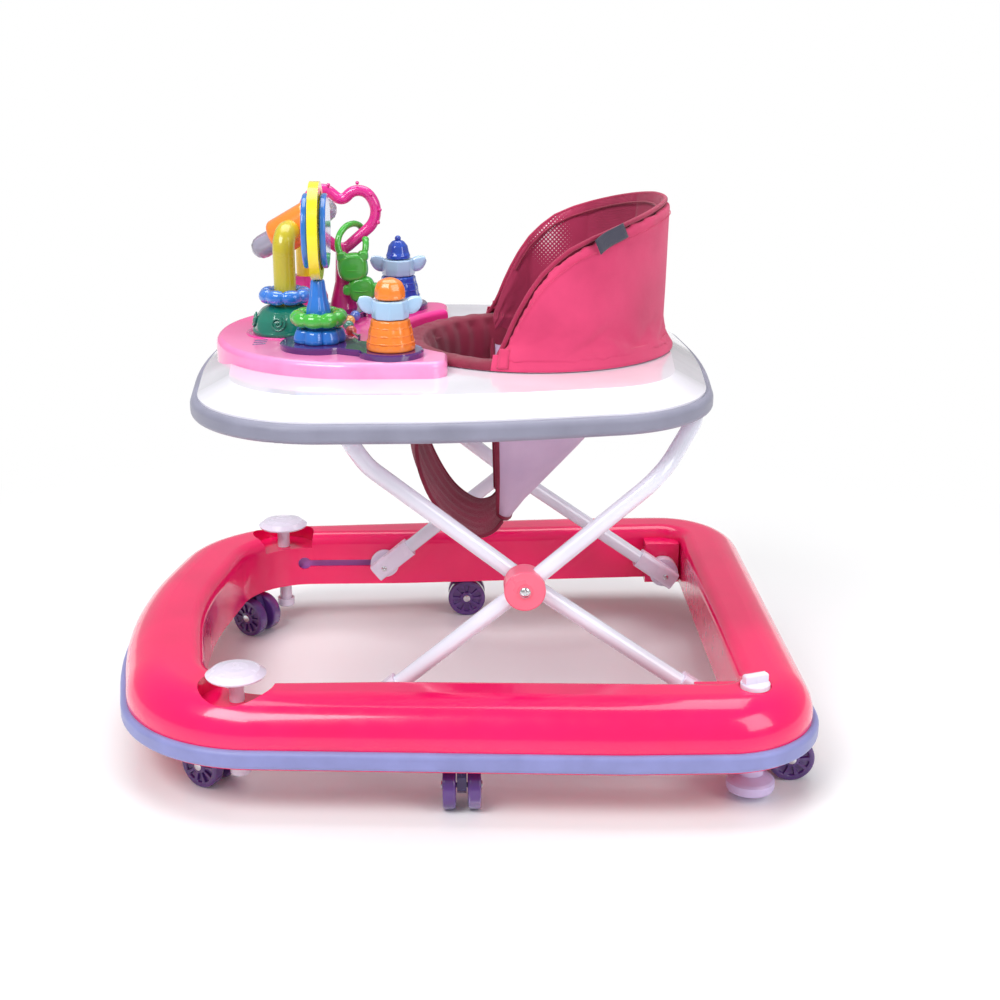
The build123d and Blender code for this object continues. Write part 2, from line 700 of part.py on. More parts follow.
def bead_wire():
    """Low curved wire across the console."""
    span = 24
    ends = radians(span)
    y = BEAD_ARC_R * sin(ends)
    x = BEAD_ARC_X - BEAD_ARC_R * cos(ends)
    arc = Pos(BEAD_ARC_X, 0, BEAD_Z) * Torus(BEAD_ARC_R, 1.3)
    arc &= block(-140, x, -y, y, BEAD_Z - 5, BEAD_Z + 5)
    return arc + upright(1.6, CONSOLE_TOP, BEAD_Z + 2, x, y) + upright(1.6, CONSOLE_TOP, BEAD_Z + 2, x, -y)


def beads():
    """Four beads threaded on the wire."""
    pieces = []
    for angle in (-14, -5, 4, 13):
        a = radians(angle)
        x = BEAD_ARC_X - BEAD_ARC_R * cos(a)
        y = BEAD_ARC_R * sin(a)
        bead = Pos(x, y, BEAD_Z) * Sphere(5.5)
        pieces.append(bead - Pos(BEAD_ARC_X, 0, BEAD_Z) * Torus(BEAD_ARC_R, 1.36))
    return pieces


def figure_body(x, y):
    """Bell and hat of a stacked figure, with the post between them."""
    bell = turned([(0, PLATE_TOP), (23, PLATE_TOP), (23, 413), (20, 427), (18, 438), (0, 438)])
    post = upright(6, 437, 457)
    hat = turned([(0, 456.5), (12, 456.5), (12.5, 461), (10, 470), (5, 475.5), (0, 476.5)])
    return Pos(x, y, 0) * (bell + post + hat)


def figure_collar(x, y):
    """Turning collar with two wings."""
    collar = upright(18, 438.4, 456.1)
    wing = Pos(21, 0, 451) * Rot(0, -28, 0) * Box(16, 7, 14)
    collar += wing + Pos(-21, 0, 451) * Rot(0, 28, 0) * Box(16, 7, 14)
    return Pos(x, y, 0) * (collar - upright(6 + RUNNING, 430, 460))


def make_base():
    cavity = base_cavity()
    save("base_shell", base_shell(cavity))
    save("base_bumper", base_bumper())
    save("caster_sockets", caster_sockets(cavity))
    save("stopper_guides", stopper_guides())
    save("slide_tracks", slide_tracks())
    save("rear_pivot_pins", rear_pivot_pins())
    save("brake_guide", brake_guide())
    for name, (x, y, heading) in CASTERS.items():
        place = Pos(x, y, 0) * Rot(0, 0, heading)
        save(f"caster_{name}_housing", place * caster_housing())
        save(f"caster_{name}_wheels", [place * wheel for wheel in caster_wheels()])
    right, left = both_sides(stopper())
    save("stopper_left", left)
    save("stopper_right", right)
    save("brake_knob", brake_knob())
    save("brake_foot", brake_foot())


def make_frame():
    outer_bar = leg_frame(FRONT_PIVOT, OUTER_KNEE, OUTER_TOP, OUTER_Y, OUTER_BAR_Y, bore=0)
    save("inner_leg_tube", inner_leg_tube())
    save("inner_leg_sleeves", inner_leg_sleeves())
    save("hub_pins", hub_pins())
    save("outer_leg_tube", outer_leg_tube())
    save("outer_leg_sleeves", outer_leg_sleeves(outer_bar))
    save("hub_covers", hub_covers(outer_bar))
    save("front_sliders", front_sliders())


def make_tray_and_seat():
    save("tray_shell", tray_shell())
    save("tray_bumper", tray_bumper())
    save("rear_clamps", rear_clamps())
    save("guide_plates", guide_plates())
    save("seat_ring", seat_ring())
    save("seat_back", seat_back())
    save("seat_band", seat_band())
    save("seat_sling", seat_sling())
    save("seat_tag", seat_tag())


def make_toys():
    save("toy_console", toy_console())
    save("toy_plates", toy_plates())
    save("dome", dome())
    save("arch_tube", arch_tube())
    save("arch_base", arch_base())
    save("arch_ring", ring_toy(ARCH_X, ARCH_Y, 440.5, 19.5, 7.5))
    save("rattle_barrel", rattle_barrel())
    save("rattle_capsule", rattle_capsule())
    save("flower_post", flower_post())
    save("green_ring", ring_toy(LOBE_A[0], -LOBE_A[1], 432, 20.5, 7.5))
    save("hoop", hoop())
    save("spinner", spinner())
    save("heart", heart())
    save("frog", frog())
    save("bead_wire", bead_wire())
    save("beads", beads())
    bx, by, _ = LOBE_B
    for side, y in (("near", -by), ("far", by)):
        save(f"{side}_figure_body", figure_body(bx, y))
        save(f"{side}_figure_collar", figure_collar(bx, y))


os.makedirs("parts", exist_ok=True)
make_base()
make_frame()
make_tray_and_seat()
make_toys()
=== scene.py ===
from math import cos, pi, radians, sin

import bpy
from mathutils import Matrix, Vector, noise


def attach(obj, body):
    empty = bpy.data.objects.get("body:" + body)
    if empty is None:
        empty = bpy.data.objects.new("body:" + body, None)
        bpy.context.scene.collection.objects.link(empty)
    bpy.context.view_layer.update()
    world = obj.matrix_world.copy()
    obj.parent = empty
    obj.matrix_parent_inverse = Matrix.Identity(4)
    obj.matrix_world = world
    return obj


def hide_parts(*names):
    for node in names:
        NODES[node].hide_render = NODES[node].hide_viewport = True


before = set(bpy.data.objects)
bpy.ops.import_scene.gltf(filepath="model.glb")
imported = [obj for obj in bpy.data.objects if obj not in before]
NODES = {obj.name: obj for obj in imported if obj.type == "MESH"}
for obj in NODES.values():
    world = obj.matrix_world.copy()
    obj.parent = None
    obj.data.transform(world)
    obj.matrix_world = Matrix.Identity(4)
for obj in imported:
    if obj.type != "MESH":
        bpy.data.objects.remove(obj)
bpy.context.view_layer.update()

MM = 0.001

# ---- sizes in millimetres, in the CAD model's frame ----
SEAT_X = 83
PLATE_TOP = 409
CONSOLE_TOP = 403
WHEEL_R = 22.5
WHEEL_W = 12.5
WHEEL_GAP = 11
CASTER_TRAIL = 9
CASTERS = {
    "front_left": (-246, -190, -35),
    "front_right": (-246, 190, -35),
    "mid_left": (3, -246, -90),
    "mid_right": (3, 246, 0),
    "rear_left": (313, -195, 0),
    "rear_right": (313, 195, 10),
}
HUB = (63.4, 197.6)
REAR_PIVOT = (247, 68.7)
FRONT_PIVOT = (-86, 76.5)
HEART_Y = 93.5
# seat: half angle covered by the backrest, radii and heights of its layers
BACK_SPAN = 111
COVER_INNER_R = 118.5
COVER_OUTER_R = 124.5
COVER_LOW = 392.4
COVER_SWELL = 3.0
COVER_VOXEL = 4.5
COVER_CLEAR_R = 119.6
TRAY_CLEAR_Z = 389.0
LEAN = 5.0
LEAN_START = 400
LEAN_HEIGHT = 130
LINING_LOW = 372
SKIRT_HEIGHTS = (389.2, 391, 393, 395, 397.5, 400, 403)
TAG_SIZE = (34, 15)
TAG_PLACE = (29, -130.4, 511)
PANEL_SPAN = 112
FLOOR_FADE = (0.5, 1.05)
LOBE_A = (-130, 82)
LOBE_B = (-60, 120)
ARCH = (-169, -8)


# ---- materials ----
class Nodes:
    """Short way to add shader nodes and link them."""

    def __init__(self, name):
        self.material = bpy.data.materials.new(name)
        self.material.use_nodes = True
        self.tree = self.material.node_tree
        self.shader = self.tree.nodes["Principled BSDF"]
        coords = self.tree.nodes.new("ShaderNodeTexCoord")
        self.where = coords.outputs["Object"]

    def link(self, source, target):
        self.tree.links.new(source, target)

    def add(self, kind, settings=None, **inputs):
        node = self.tree.nodes.new(kind)
        for key, value in (settings or {}).items():
            setattr(node, key, value)
        for key, value in inputs.items():
            socket = node.inputs[key.replace("_", " ")]
            if isinstance(value, bpy.types.NodeSocket):
                self.link(value, socket)
            else:
                socket.default_value = value
        return node

    def noise(self, scale, detail=3.0, rough=0.5):
        return self.add("ShaderNodeTexNoise", Vector=self.where, Scale=scale, Detail=detail, Roughness=rough)

    def math(self, operation, a, b=0.0, c=0.0):
        node = self.tree.nodes.new("ShaderNodeMath")
        node.operation = operation
        for socket, value in zip(node.inputs, (a, b, c)):
            if isinstance(value, bpy.types.NodeSocket):
                self.link(value, socket)
            else:
                socket.default_value = value
        return node.outputs[0]

    def mix(self, factor, a, b):
        node = self.add("ShaderNodeMix", {"data_type": "RGBA"})
        for socket, value in zip((node.inputs[0], node.inputs[6], node.inputs[7]), (factor, a, b)):
            if isinstance(value, bpy.types.NodeSocket):
                self.link(value, socket)
            else:
                socket.default_value = value
        return node.outputs[2]

    def spread(self, value, low, high, start=0.3, end=0.7):
        node = self.add("ShaderNodeMapRange")
        self.link(value, node.inputs[0])
        for socket, number in zip(node.inputs[1:5], (start, end, low, high)):
            socket.default_value = number
        return node.outputs[0]

    def bump(self, height, strength, distance):
        node = self.add("ShaderNodeBump", Height=height, Strength=strength, Distance=distance)
        self.link(node.outputs[0], self.shader.inputs["Normal"])
        return node

    def set(self, **values):
        for key, value in values.items():
            socket = self.shader.inputs[key.replace("_", " ")]
            if isinstance(value, bpy.types.NodeSocket):
                self.link(value, socket)
            else:
                socket.default_value = value


def rgb(red, green, blue):
    """Linear colour from 0 to 255 display values."""
    linear = []
    for value in (red, green, blue):
        v = value / 255
        linear.append(v / 12.92 if v <= 0.04045 else ((v + 0.055) / 1.055) ** 2.4)
    return (*linear, 1.0)


def shade(colour, amount):
    return tuple(min(1.0, c * amount) for c in colour[:3]) + (1.0,)


def plastic(name, colour, rough=0.22, coat=0.6, clear=0.0, grain=60.0, soft=0.0):
    """Moulded plastic: slight colour drift, uneven gloss and a fine moulding ripple."""
    m = Nodes(name)
    drift = m.noise(grain * 0.2, 2.0)
    m.set(Base_Color=m.mix(m.spread(drift.outputs[0], 0.0, 1.0), shade(colour, 0.9), shade(colour, 1.04)))
    gloss = m.noise(grain, 4.0)
    m.set(Roughness=m.spread(gloss.outputs[0], rough * 0.75, rough * 1.35))
    m.set(Coat_Weight=coat, Coat_Roughness=0.06, Transmission_Weight=clear, IOR=1.46)
    if soft:
        m.set(Subsurface_Weight=soft, Subsurface_Radius=(0.6, 0.4, 0.5), Subsurface_Scale=0.004)
    ripple = m.noise(grain * 8, 2.0)
    m.bump(ripple.outputs[0], 0.05, 0.0004)
    return m.material


def rubber(name, colour, rough=0.5):
    """Soft strip: mottled colour and a fine matt grain."""
    m = Nodes(name)
    drift = m.noise(30.0, 4.0)
    m.set(Base_Color=m.mix(m.spread(drift.outputs[0], 0.0, 1.0), shade(colour, 0.88), shade(colour, 1.05)))
    m.set(Roughness=m.spread(drift.outputs[0], rough * 0.8, rough * 1.2), Sheen_Weight=0.08)
    m.bump(m.noise(1400.0, 3.0).outputs[0], 0.12, 0.0003)
    return m.material


def metal(name, colour, rough=0.18):
    """Polished metal with fine scratches."""
    m = Nodes(name)
    scratch = m.add("ShaderNodeTexNoise", Vector=m.where, Scale=900.0, Detail=5.0)
    m.set(Base_Color=m.mix(m.spread(scratch.outputs[0], 0.0, 1.0), shade(colour, 0.8), colour))
    m.set(Metallic=1.0, Roughness=m.spread(scratch.outputs[0], rough * 0.6, rough * 1.6))
    m.bump(scratch.outputs[0], 0.05, 0.0002)
    return m.material


def weave(m, pitch):
    """Height of a plain weave with the given thread pitch in metres."""
    split = m.add("ShaderNodeSeparateXYZ", Vector=m.where)
    turn = 2 * pi / pitch
    around = m.math("ADD", split.outputs[0], split.outputs[1])
    warp = m.math("SINE", m.math("MULTIPLY", around, turn))
    weft = m.math("SINE", m.math("MULTIPLY", split.outputs[2], turn))
    return m.math("MULTIPLY", warp, weft)


def fabric(name, colour, dark, pitch=0.0012, dots=False):
    """Woven cloth: threads, faded patches and fine creases."""
    m = Nodes(name)
    threads = weave(m, pitch)
    faded = m.noise(14.0, 5.0)
    base = m.mix(m.spread(faded.outputs[0], 0.0, 1.0), dark, colour)
    base = m.mix(m.spread(threads, 0.0, 0.22, -1.0, 1.0), base, shade(colour, 1.25))
    if dots:
        base = dotted(m, base)
    m.set(Base_Color=base, Roughness=0.82, Sheen_Weight=0.25, Sheen_Roughness=0.45)
    crease = m.noise(70.0, 4.0)
    height = m.math("ADD", m.math("MULTIPLY", threads, 0.25), m.math("MULTIPLY", crease.outputs[0], 1.6))
    m.bump(height, 0.55, 0.0011)
    return m.material


def dotted(m, base):
    """Printed patch of pale dots inside the backrest, fading out from its middle."""
    split = m.add("ShaderNodeSeparateXYZ", Vector=m.where)
    angle = m.math("ARCTAN2", split.outputs[1], m.math("SUBTRACT", split.outputs[0], SEAT_X * MM))
    along = m.math("MULTIPLY", angle, 0.118)
    pitch = 0.0094
    parts = []
    for operation in ("ADD", "SUBTRACT"):
        wave = m.math("PINGPONG", m.math(operation, along, split.outputs[2]), pitch / 2)
        offset = m.math("SUBTRACT", wave, pitch / 4)
        parts.append(m.math("MULTIPLY", offset, offset))
    ring = m.math("SQRT", m.math("ADD", *parts))
    du = m.math("MULTIPLY", m.math("SUBTRACT", along, 0.166), 1 / 0.028)
    dz = m.math("MULTIPLY", m.math("SUBTRACT", split.outputs[2], 0.480), 1 / 0.036)
    reach = m.math("SQRT", m.math("ADD", m.math("MULTIPLY", du, du), m.math("MULTIPLY", dz, dz)))
    size = m.math("MULTIPLY", m.math("SUBTRACT", 1.0, reach), 0.0017)
    return m.mix(m.math("LESS_THAN", ring, size), base, (0.8, 0.66, 0.7, 1.0))


def colour_ramp_plastic(name, first, second, axis, start, end, rough=0.25, clear=0.0):
    """Plastic whose colour changes between two places along an axis; on the arch tube the olive end is
    painted shade on the near leg.
    """
    m = Nodes(name)
    split = m.add("ShaderNodeSeparateXYZ", Vector=m.where)
    blend = m.spread(split.outputs[axis], 0.0, 1.0, start, end)
    drift = m.noise(40.0, 3.0)
    colour = m.mix(blend, first, second)
    m.set(Base_Color=m.mix(m.spread(drift.outputs[0], 0.0, 0.16), colour, shade(second, 0.6)))
    m.set(Roughness=m.spread(drift.outputs[0], rough * 0.8, rough * 1.3))
    m.set(Coat_Weight=0.6, Coat_Roughness=0.08)
    m.set(Transmission_Weight=clear)
    m.bump(m.noise(500.0, 2.0).outputs[0], 0.05, 0.0003)
    return m.material


def bead_colours(name):
    """Beads: four colours along the wire."""
    m = Nodes(name)
    split = m.add("ShaderNodeSeparateXYZ", Vector=m.where)
    colour = rgb(225, 70, 40)
    changes = [(-0.028, rgb(20, 140, 120)), (-0.002, rgb(240, 170, 40)), (0.025, rgb(60, 110, 220))]
    for edge, following in changes:
        colour = m.mix(m.math("GREATER_THAN", split.outputs[1], edge), colour, following)
    drift = m.noise(200.0, 3.0)
    m.set(Base_Color=m.mix(m.spread(drift.outputs[0], 0.0, 0.15), colour, (1, 1, 1, 1)))
    m.set(Roughness=m.spread(drift.outputs[0], 0.1, 0.25), Coat_Weight=0.8, Transmission_Weight=0.25)
    m.bump(drift.outputs[0], 0.05, 0.0003)
    return m.material


PINK = plastic("hot_pink", rgb(250, 6, 100), 0.2, 0.55, soft=0.03)
LILAC_RUBBER = rubber("lilac_rubber", rgb(136, 140, 196), 0.42)
GREY_RUBBER = rubber("grey_lilac_rubber", rgb(138, 138, 158), 0.45)
STRIP = plastic("lilac_strip", rgb(190, 120, 215), 0.35, 0.3)
STEEL = metal("polished_steel", (0.72, 0.72, 0.75, 1.0))
WHEEL = plastic("purple_wheel", rgb(92, 52, 132), 0.2, 0.7, clear=0.12)
HOUSING = plastic("purple_housing", rgb(66, 40, 112), 0.25, 0.5)
WHITE = plastic("white_plastic", rgb(234, 226, 244), 0.24, 0.6, soft=0.05)
FOOT = rubber("pale_foot", rgb(216, 198, 240), 0.35)
TUBE = plastic("white_paint", rgb(232, 232, 246), 0.2, 0.8)
CORAL = plastic("coral_cap", rgb(246, 104, 132), 0.34, 0.3)
TRAY = plastic("white_tray", rgb(240, 238, 248), 0.14, 0.9, soft=0.03)
OUTER_CLOTH = fabric("pink_cloth", rgb(228, 66, 118), rgb(200, 48, 98))
PIPING_CLOTH = fabric("dark_piping", rgb(178, 34, 82), rgb(142, 22, 62))
HEM_CLOTH = fabric("pink_hem", rgb(222, 62, 112), rgb(192, 44, 92))
LINING = fabric("red_lining", rgb(172, 40, 84), rgb(128, 22, 58), 0.0015, dots=True)
GATHER = fabric("red_gather", rgb(150, 28, 66), rgb(100, 12, 38), 0.0014)
LILAC_CLOTH = fabric("lilac_cloth", rgb(222, 200, 228), rgb(196, 172, 208))
TAG = fabric("grey_tag", rgb(78, 78, 96), rgb(56, 56, 72), 0.0008)
CONSOLE = colour_ramp_plastic("pink_console", rgb(255, 158, 210), rgb(252, 58, 160), 1, -0.15, 0.05, 0.2)
PLATE = plastic("purple_plate", rgb(96, 40, 128), 0.12, 0.9, clear=0.25)
TEAL = plastic("teal", rgb(24, 128, 106), 0.14, 0.9, clear=0.1)
# arch tube is one yellow plastic: the olive near-side colour is painted shade on the near leg, blending into
# the real yellow of the far leg
ARCH_YELLOW_PAINTED_SHADE = colour_ramp_plastic("arch_yellow_painted_shade", rgb(196, 182, 40), rgb(250, 226, 30), 1, -0.008, 0.064)
YELLOW = plastic("yellow", rgb(246, 226, 40), 0.22, 0.6)
MAGENTA = plastic("magenta", rgb(226, 48, 150), 0.16, 0.8, soft=0.05)
BLUE = plastic("blue", rgb(44, 124, 222), 0.15, 0.8, clear=0.08)
NAVY = plastic("navy", rgb(38, 78, 190), 0.17, 0.8)
ORANGE = plastic("orange", rgb(248, 134, 44), 0.2, 0.7, soft=0.05)
GREEN = plastic("green", rgb(70, 184, 64), 0.17, 0.8, soft=0.04)
CLEAR = plastic("clear_cap", rgb(188, 184, 206), 0.1, 0.9, clear=0.55)
PALE_BLUE = plastic("pale_blue", rgb(174, 208, 240), 0.2, 0.7, clear=0.1)
BEADS = bead_colours("bead_colours")


# ---- mesh helpers ----
def add_piece(name, shape, body, material, replaces=(), sharp=38, matrix=None):
    """A piece from (vertices in mm, faces)."""
    verts, faces = shape
    if matrix is not None:
        verts = [matrix @ Vector(v) for v in verts]
    mesh = bpy.data.meshes.new(name)
    mesh.from_pydata([tuple(c * MM for c in v) for v in verts], [], faces)
    mesh.validate()
    mesh.update()
    obj = bpy.data.objects.new(name, mesh)
    bpy.context.scene.collection.objects.link(obj)
    mesh.materials.append(material)
    mesh.shade_smooth()
    mesh.set_sharp_from_angle(angle=radians(sharp))
    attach(obj, body)
    if replaces:
        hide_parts(*replaces)
    return obj


def skin(rings, closed=True, wrap=False, cap=True):
    """Surface through rings of points; wrap joins the last ring to the first."""
    n = len(rings[0])
    m = len(rings)
    verts = [p for ring in rings for p in ring]
    faces = []
    for i in range(m if wrap else m - 1):
        k = (i + 1) % m
        for j in range(n if closed else n - 1):
            q = (j + 1) % n
            faces.append((i * n + j, i * n + q, k * n + q, k * n + j))
    if cap and not wrap:
        faces.append(tuple(reversed(range(n))))
        faces.append(tuple(range((m - 1) * n, m * n)))
    return verts, faces


def merged(*shapes):
    verts = []
    faces = []
    for v, f in shapes:
        start = len(verts)
        verts += list(v)
        faces += [tuple(i + start for i in face) for face in f]
    return verts, faces


def moved(shape, matrix):
    verts, faces = shape
    return [tuple(matrix @ Vector(v)) for v in verts], faces


def lathe(profile, seg=64, wave=None):
    """Turned shape from (radius, height) points; wave(angle, height) scales the radius."""
    rings = []
    for r, z in profile:
        ring = []
        for k in range(seg):
            a = 2 * pi * k / seg
            q = max(r, 0.01) * (wave(a, z) if wave else 1.0)
            ring.append((q * cos(a), q * sin(a), z))
        rings.append(ring)
    return skin(rings)


def rounded(profile, radius, steps=4):
    """Profile with its inner points replaced by short arcs."""
    out = [profile[0]]
    for before, here, after in zip(profile, profile[1:], profile[2:]):
        a = Vector(before) - Vector(here)
        b = Vector(after) - Vector(here)
        reach = min(radius, a.length * 0.45, b.length * 0.45)
        start = Vector(here) + a.normalized() * reach
        end = Vector(here) + b.normalized() * reach
        for k in range(steps + 1):
            t = k / steps
            p = start * (1 - t) ** 2 + Vector(here) * 2 * t * (1 - t) + end * t ** 2
            out.append(tuple(p))
    out.append(profile[-1])
    return out


def spline(points, per=8, closed=False):
    """Smooth path through points."""
    pts = [Vector(p) for p in points]
    n = len(pts)
    out = []
    for i in range(n if closed else n - 1):
        if closed:
            p0, p1, p2, p3 = pts[i - 1], pts[i], pts[(i + 1) % n], pts[(i + 2) % n]
        else:
            p0, p1, p2, p3 = pts[max(i - 1, 0)], pts[i], pts[i + 1], pts[min(i + 2, n - 1)]
        for k in range(per):
            t = k / per
            out.append(
                0.5 * (2 * p1 + (p2 - p0) * t + (2 * p0 - 5 * p1 + 4 * p2 - p3) * t * t
                       + (3 * p1 - p0 - 3 * p2 + p3) * t ** 3)
            )
    if not closed:
        out.append(pts[-1])
    return out


def swept(path, radius, seg=14, closed=False, flat=1.0):
    """Tube along a path; radius is a number or a function of the fraction along it."""
    path = [Vector(p) for p in path]
    n = len(path)
    rings = []
    up = Vector((0, 0, 1))
    for i, p in enumerate(path):
        ahead = path[(i + 1) % n] if closed or i < n - 1 else p
        behind = path[i - 1] if closed or i > 0 else p
        along = (ahead - behind).normalized()
        side = up - along * up.dot(along)
        if side.length < 0.05:
            side = Vector((1, 0, 0)) - along * along.x
        side.normalize()
        up = side
        other = along.cross(side)
        r = radius(i / (n - 1)) if callable(radius) else radius
        ring = []
        for k in range(seg):
            a = 2 * pi * k / seg
            ring.append(tuple(p + side * (cos(a) * r * flat) + other * (sin(a) * r)))
        rings.append(ring)
    return skin(rings, wrap=closed, cap=not closed)


def ball(centre, rx, ry=None, rz=None, seg=24):
    ry = ry or rx
    rz = rz or rx
    rings = []
    half = seg // 2
    for i in range(1, half):
        t = pi * i / half
        rings.append([
            (centre[0] + rx * sin(t) * cos(2 * pi * k / seg), centre[1] + ry * sin(t) * sin(2 * pi * k / seg),
             centre[2] - rz * cos(t)) for k in range(seg)
        ])
    return skin(rings)


def ring_toy(ring_r, bar_r, lobes, depth, seg=96):
    """Ring divided into plump segments."""
    rings = []
    for i in range(seg):
        a = 2 * pi * i / seg
        swell = abs(sin(a * lobes / 2)) ** 0.45
        r = bar_r * (1 - depth + depth * swell)
        rings.append([
            ((ring_r + r * cos(b)) * cos(a), (ring_r + r * cos(b)) * sin(a), r * sin(b))
            for b in [2 * pi * k / 16 for k in range(16)]
        ])
    return skin(rings, wrap=True)


def at(x, y, z=0.0):
    return Matrix.Translation((x, y, z))


def turn(angle, axis):
    return Matrix.Rotation(radians(angle), 4, axis)


# ---- CAD nodes that keep their shape ----
CARRIED = {
    "base_shell": PINK, "caster_sockets": PINK, "stopper_guides": PINK, "brake_guide": PINK,
    "base_bumper": LILAC_RUBBER, "tray_bumper": GREY_RUBBER, "slide_tracks": STRIP,
    "rear_pivot_pins": STEEL, "hub_pins": STEEL, "bead_wire": STEEL,
    "stopper_left": WHITE, "stopper_right": WHITE, "brake_knob": WHITE, "brake_foot": FOOT,
    "inner_leg_sleeves": WHITE, "outer_leg_sleeves": WHITE, "front_sliders": WHITE, "seat_ring": WHITE,
    "rear_clamps": WHITE, "guide_plates": WHITE, "inner_leg_tube": TUBE, "outer_leg_tube": TUBE,
    "hub_covers": CORAL, "tray_shell": TRAY, "toy_console": CONSOLE, "toy_plates": PLATE,
    "arch_tube": ARCH_YELLOW_PAINTED_SHADE, "arch_base": MAGENTA, "heart": MAGENTA, "hoop": YELLOW, "spinner": BLUE,
    "rattle_barrel": ORANGE, "rattle_capsule": CLEAR, "beads": BEADS,
}
for name in CASTERS:
    CARRIED[f"caster_{name}_housing"] = HOUSING
for node, material in CARRIED.items():
    mesh = NODES[node].data
    mesh.materials.clear()
    mesh.materials.append(material)


# ---- casters ----
# outer face of a wheel: (radius, height over the face); below -2.5 the spokes stand up
WHEEL_FACE = [(17.2, -0.2), (16.6, -2.6), (15.6, -3.0), (13, -3.0), (10.5, -3.0), (8.4, -2.8), (7.6, -0.6),
              (7, 0.2), (5.4, 0.4), (0.3, 0.4)]


def wheel_shape(side):
    """One wheel: rounded tread, ribbed rim and recessed spokes on its outer face."""
    inner = WHEEL_GAP / 2
    outer = inner + WHEEL_W
    tread = rounded([(3, inner), (WHEEL_R, inner), (WHEEL_R, outer), (17.6, outer)], 3.2)
    rings = [[(r * cos(2 * pi * k / 120), side * h, r * sin(2 * pi * k / 120)) for k in range(120)]
             for r, h in tread]
    for r, low in WHEEL_FACE:
        ring = []
        for k in range(120):
            a = 2 * pi * k / 120
            spoke = 1 if cos(a * 10) > 0.1 else 0
            h = low + (2.3 * spoke if low < -2.5 else 0)
            ring.append((r * cos(a), side * (outer + h), r * sin(a)))
        rings.append(ring)
    return skin(rings)


def make_casters():
    for name, (x, y, heading) in CASTERS.items():
        place = at(x, y) @ turn(heading, "Z") @ at(CASTER_TRAIL, 0, WHEEL_R)
        for side, label in ((-1, "a"), (1, "b")):
            replaced = (f"caster_{name}_wheels",) if side == 1 else ()
            add_piece(f"wheel_{name}_{label}", wheel_shape(side), f"wheels_{name}", WHEEL,
                      replaced, sharp=50, matrix=place)
            outer = WHEEL_GAP / 2 + WHEEL_W
            cap = lathe(rounded([(0, 0), (4.3, 0), (4.3, 1.2), (0, 1.9)], 0.8), 32)
            add_piece(f"wheel_cap_{name}_{label}", cap, f"wheels_{name}", STEEL,
                      matrix=place @ at(0, side * (outer + 0.1), 0) @ turn(-90 * side, "X"))


# ---- screws and rivets on the frame ----
def screw(radius, height):
    """Low domed head with a cross recess."""
    rings = []
    for i in range(9):
        t = i / 8
        r = radius * cos(t * pi / 2) + 0.02
        z = height * sin(t * pi / 2)
        ring = []
        for k in range(48):
            a = 2 * pi * k / 48
            cross = min(abs(sin(a)), abs(cos(a))) * r < radius * 0.13 and r < radius * 0.55
            ring.append((r * cos(a), r * sin(a), z - (0.6 if cross else 0)))
        rings.append(ring)
    return skin(rings)


RIVETS = [("rear", REAR_PIVOT, "inner_frame", 170), ("front", FRONT_PIVOT, "outer_frame", 188)]


def make_screws():
    for side, label in ((-1, "left"), (1, "right")):
        face = turn(-90 * side, "X")
        washer = lathe(rounded([(0, 0), (7, 0), (7, 1), (0, 1.3)], 0.6), 48)
        add_piece(f"hub_washer_{label}", washer, "outer_frame",
                  CORAL, matrix=at(HUB[0], side * 211, HUB[1]) @ face)
        add_piece(f"hub_screw_{label}", screw(5.2, 2.6), "inner_frame", STEEL,
                  matrix=at(HUB[0], side * 212.6, HUB[1]) @ face)
        for end, pivot, body, y in RIVETS:
            back = turn(90 * side, "X")
            add_piece(f"rivet_{end}_{label}", screw(3.4, 1.6), body, STEEL,
                      matrix=at(pivot[0], side * y, pivot[1]) @ back)


# ---- seat ----
# the backrest's sweeping edge, seen from the side: (x, height)
EDGE = [(34, 390), (38, 396), (43, 408), (52, 430), (60, 446), (70, 463), (82, 479), (95, 491), (110, 502),
        (130, 511), (150, 518), (172, 525), (192, 531), (206, 535), (214, 536)]


def edge_height(angle):
    """Height of the sweeping edge at an angle from straight back."""
    x = SEAT_X + 128 * cos(radians(angle))
    for (x0, z0), (x1, z1) in zip(EDGE, EDGE[1:]):
        if x <= x1:
            return z0 + (z1 - z0) * max(0.0, x - x0) / (x1 - x0)
    return EDGE[-1][1]


def around(angle, r, z):
    a = radians(angle)
    r += LEAN * max(0.0, cos(a)) * max(0.0, z - LEAN_START) / LEAN_HEIGHT
    return (SEAT_X + r * cos(a), r * sin(a), z)


def back_solid(low, drop):
    """Closed padded cover following the sweeping edge and flaring out over the ring."""
    rings = []
    steps = 72
    count = 14
    for i in range(steps + 1):
        angle = -BACK_SPAN + 2 * BACK_SPAN * i / steps
        top = max(edge_height(angle) - drop, low + 5)
        ring = []
        for k in range(count + 1):
            z = low + (top - low) * k / count
            ring.append(around(angle, COVER_INNER_R + flare(z) * 0.8, z))
        ring.append(around(angle, 121.5, top + 2.5))
        for k in range(count + 1):
            z = top + (low - top) * k / count
            ring.append(around(angle, COVER_OUTER_R + flare(z), z))
        rings.append(ring)
    return skin(rings)


def flare(z):
    """How far the cover's foot spreads over the ring at a height."""
    return 12.6 * min(1.0, max(0.0, 1 - (z - 391) / 32)) ** 1.7


def applied(obj):
    """Replaces the object's mesh by its evaluated mesh and drops the modifiers."""
    graph = bpy.context.evaluated_depsgraph_get()
    mesh = bpy.data.meshes.new_from_object(obj.evaluated_get(graph))
    obj.modifiers.clear()
    obj.data = mesh


